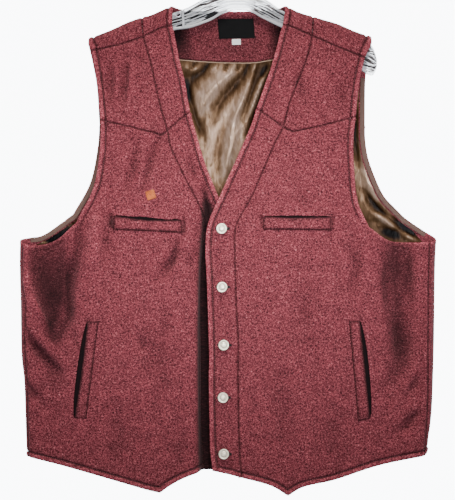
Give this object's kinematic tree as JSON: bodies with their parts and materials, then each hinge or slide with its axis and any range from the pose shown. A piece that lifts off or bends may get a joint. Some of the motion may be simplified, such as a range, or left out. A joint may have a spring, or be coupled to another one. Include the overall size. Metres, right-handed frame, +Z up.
{
  "type": "western vest on a clothes hanger",
  "caption": "Buttoned wool vest with a V neck, pointed yokes and hem, welt pockets and a satin back lining, hung on a clear plastic hanger.",
  "frame": {"origin": "inside of the hook's crown, where the hanger hangs on a rail", "axes": "+Z up, the front of the vest towards -Y, the wearer's left towards +X"},
  "size_m": [0.6275, 0.0634, 0.837],
  "materials": {
    "wool": "felted wool, napped, heathered burgundy",
    "satin": "brown satin lining, shiny",
    "tape": "twill binding, matte",
    "label": "woven label, black, bare",
    "tab": "woven tab, white, bare",
    "nickel": "satin nickel",
    "clear": "clear moulded polystyrene"
  },
  "bodies": {
    "root": {"back_panel": "wool", "back_yoke": "wool", "neck_band_back": "wool", "left_front": "wool", "left_front_yoke": "wool", "left_band": "wool", "left_band_upper": "wool", "right_front": "wool", "right_front_yoke": "wool", "right_band": "wool", "right_band_upper": "wool", "left_chest_welt": "wool", "right_chest_welt": "wool", "left_side_welt": "wool", "right_side_welt": "wool", "neck_facing": "wool", "back_lining": "satin", "left_armhole_binding": "tape", "right_armhole_binding": "tape", "label": "label", "size_tab": "tab", "button_1": "nickel", "button_2": "nickel", "button_3": "nickel", "button_4": "nickel", "button_5": "nickel", "hanger_bar": "clear", "hanger_hook": "nickel"}
  },
  "joints": []
}
